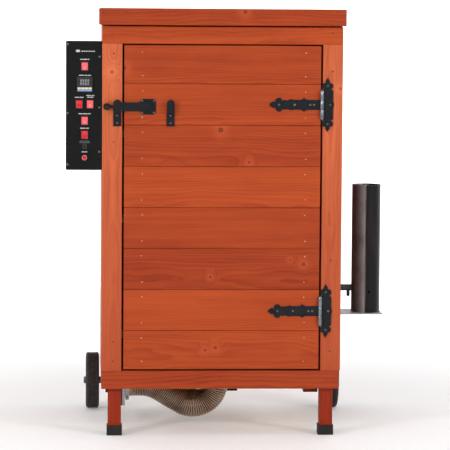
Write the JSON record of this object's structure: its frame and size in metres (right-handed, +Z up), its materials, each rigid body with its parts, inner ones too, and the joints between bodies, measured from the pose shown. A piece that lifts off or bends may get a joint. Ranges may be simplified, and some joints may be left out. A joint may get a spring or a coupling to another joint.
{
  "type": "pellet smoker grill",
  "caption": "Wooden cabinet smoker on legs and wheels, with a board door on ornate strap hinges, an electric control panel and an outside smoke generator tube.",
  "frame": {"origin": "on the ground, under the middle of the whole object's box", "axes": "+X to the object's right seen from its door, +Y from its door to its back, +Z up"},
  "size_m": [0.984, 0.6524, 1.286],
  "materials": {
    "stained_wood": "satin",
    "stained_wood_light": "satin",
    "raw_wood": "matte",
    "black_steel": "satin",
    "black_panel": "satin",
    "zinc_steel": "satin",
    "stainless_steel": "satin",
    "grey_sheet": "satin",
    "black_plastic": "satin",
    "red_plastic": "gloss",
    "cream_plastic": "satin",
    "aluminium_duct": "satin",
    "foot_rubber": "matte",
    "tyre_rubber": "matte",
    "rim_plastic": "satin"
  },
  "bodies": {
    "root": {"corner_posts": "stained_wood_light", "door_jambs": "stained_wood_light", "top_rail": "stained_wood_light", "bottom_rail": "stained_wood", "left_wall_boards": "stained_wood", "right_wall_boards": "stained_wood", "back_wall_boards": "stained_wood", "floor_panel": "raw_wood", "lid_boards": "stained_wood", "lid_fascia": "stained_wood", "foot_caps": "foot_rubber", "upper_hinge_leaf": "black_steel", "lower_hinge_leaf": "black_steel", "hinge_pins": "black_steel", "jamb_hook": "black_steel", "frame_screws": "black_steel", "control_panel": "black_panel", "control_box": "black_panel", "switch_bezels": "black_plastic", "temperature_controller": "black_plastic", "smoke_tube": "stainless_steel", "smoke_outlet_pipe": "stainless_steel", "generator_shelf": "grey_sheet", "fan_housing": "black_plastic", "fan_adapter_plate": "grey_sheet", "air_hose": "aluminium_duct", "hose_clamps": "zinc_steel", "heater_box": "zinc_steel", "heating_element": "stainless_steel", "axle": "zinc_steel", "axle_brackets": "black_steel", "rack_runners": "raw_wood", "wire_rack": "stainless_steel", "drip_tray": "stainless_steel", "vent_frame": "black_steel"},
    "door": {"door_boards": "stained_wood", "door_ledgers": "raw_wood", "upper_hinge_strap": "black_steel", "lower_hinge_strap": "black_steel", "door_screws": "black_steel", "door_hook": "black_steel", "latch_plate": "black_steel"},
    "latch": {"latch_bar": "black_steel"},
    "tube_lid": {"smoke_tube_lid": "stainless_steel"},
    "rotor": {"fan_rotor": "black_plastic"},
    "left_wheel": {"left_wheel_rim": "rim_plastic", "left_tyre": "tyre_rubber"},
    "right_wheel": {"right_wheel_rim": "rim_plastic", "right_tyre": "tyre_rubber"},
    "dial": {"speed_knob": "red_plastic"},
    "damper": {"vent_damper": "black_steel"},
    "upper_rocker": {"upper_rocker": "red_plastic"},
    "middle_left_rocker": {"middle_left_rocker": "red_plastic"},
    "middle_right_rocker": {"middle_right_rocker": "red_plastic"},
    "lower_rocker": {"lower_rocker": "red_plastic"},
    "bottom_rocker": {"bottom_rocker": "red_plastic"},
    "key_1": {"controller_key_1": "cream_plastic"},
    "key_2": {"controller_key_2": "cream_plastic"},
    "key_3": {"controller_key_3": "cream_plastic"},
    "key_4": {"controller_key_4": "cream_plastic"}
  },
  "joints": [
    {"name": "door_hinge", "type": "hinge", "parent": "root", "child": "door", "pos_m": [0.273, -0.30975, 0.69], "axis": [0, 0, 1], "range_deg": [0, 110]},
    {"name": "latch_pivot", "type": "hinge", "parent": "door", "child": "latch", "pos_m": [-0.247, -0.31275, 0.993], "axis": [0, 1, 0], "range_deg": [0, 180]},
    {"name": "tube_lid_lift", "type": "slide", "parent": "root", "child": "tube_lid", "axis": [0, 0, 1], "range_m": [0, 0.06]},
    {"name": "rotor_spin", "type": "hinge", "parent": "root", "child": "rotor", "pos_m": [-0.3315, -0.01375, 0.117], "axis": [1, 0, 0], "continuous": true},
    {"name": "left_wheel_spin", "type": "hinge", "parent": "root", "child": "left_wheel", "pos_m": [-0.409, 0.23625, 0.09], "axis": [1, 0, 0], "continuous": true},
    {"name": "right_wheel_spin", "type": "hinge", "parent": "root", "child": "right_wheel", "pos_m": [0.361, 0.23625, 0.09], "axis": [1, 0, 0], "continuous": true},
    {"name": "dial_turn", "type": "hinge", "parent": "root", "child": "dial", "pos_m": [-0.436, -0.30375, 0.84], "axis": [0, 1, 0], "range_deg": [0, 270]},
    {"name": "damper_swing", "type": "hinge", "parent": "root", "child": "damper", "pos_m": [-0.024, 0.27955, 1.172], "axis": [0, 1, 0], "range_deg": [0, 90]},
    {"name": "upper_rocker_tip", "type": "hinge", "parent": "root", "child": "upper_rocker", "pos_m": [-0.436, -0.29575, 1.114], "axis": [-1, 0, 0], "range_deg": [0, 16]},
    {"name": "middle_left_rocker_tip", "type": "hinge", "parent": "root", "child": "middle_left_rocker", "pos_m": [-0.452, -0.29575, 1.001], "axis": [-1, 0, 0], "range_deg": [0, 16]},
    {"name": "middle_right_rocker_tip", "type": "hinge", "parent": "root", "child": "middle_right_rocker", "pos_m": [-0.42, -0.29575, 1.001], "axis": [-1, 0, 0], "range_deg": [0, 16]},
    {"name": "lower_rocker_tip", "type": "hinge", "parent": "root", "child": "lower_rocker", "pos_m": [-0.436, -0.29575, 0.952], "axis": [-1, 0, 0], "range_deg": [0, 16]},
    {"name": "bottom_rocker_tip", "type": "hinge", "parent": "root", "child": "bottom_rocker", "pos_m": [-0.436, -0.29575, 0.91], "axis": [-1, 0, 0], "range_deg": [0, 16]},
    {"name": "key_1_press", "type": "slide", "parent": "root", "child": "key_1", "axis": [0, 1, 0], "range_m": [0, 0.001], "stiffness_N_per_m": 400, "springref_m": -0.0005},
    {"name": "key_2_press", "type": "slide", "parent": "root", "child": "key_2", "axis": [0, 1, 0], "range_m": [0, 0.001], "stiffness_N_per_m": 400, "springref_m": -0.0005},
    {"name": "key_3_press", "type": "slide", "parent": "root", "child": "key_3", "axis": [0, 1, 0], "range_m": [0, 0.001], "stiffness_N_per_m": 400, "springref_m": -0.0005},
    {"name": "key_4_press", "type": "slide", "parent": "root", "child": "key_4", "axis": [0, 1, 0], "range_m": [0, 0.001], "stiffness_N_per_m": 400, "springref_m": -0.0005}
  ]
}
